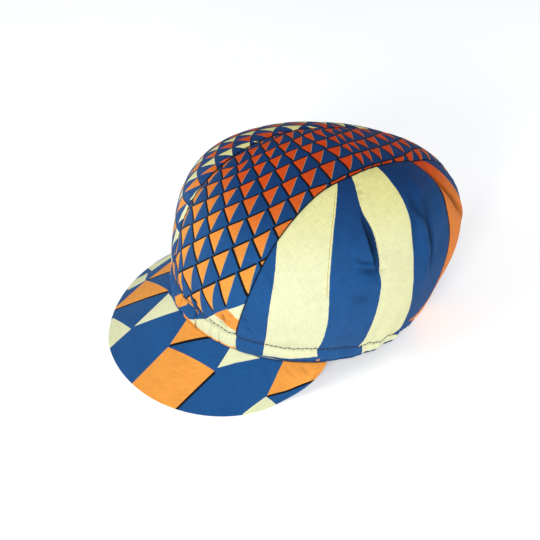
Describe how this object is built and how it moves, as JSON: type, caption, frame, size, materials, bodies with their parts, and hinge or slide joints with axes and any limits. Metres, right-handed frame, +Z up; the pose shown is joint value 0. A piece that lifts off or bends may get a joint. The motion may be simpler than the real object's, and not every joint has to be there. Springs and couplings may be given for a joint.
{
  "type": "cycling cap",
  "caption": "Soft cotton cycling cap with a panelled crown, folded hem casing, inner sweatband and a short drooping peak, printed with triangles and stripes.",
  "frame": {"origin": "under the middle of the cap's bounding box, on the surface it rests on", "axes": "+Z up, -Y toward the edge of the peak, +X toward the wearer's left"},
  "size_m": [0.1814, 0.2676, 0.1531],
  "materials": {
    "peak_cloth": "plain-woven cotton, printed",
    "casing_cloth": "plain-woven cotton, printed",
    "sweatband_cloth": "plain-woven cotton",
    "side_cloth": "plain-woven cotton, printed",
    "middle_cloth": "plain-woven cotton, printed"
  },
  "bodies": {
    "root": {"peak": "peak_cloth", "hem_casing": "casing_cloth", "sweatband": "sweatband_cloth", "side_panel_left": "side_cloth", "side_panel_right": "side_cloth", "middle_panel_left": "middle_cloth", "middle_panel_right": "middle_cloth"}
  },
  "joints": []
}
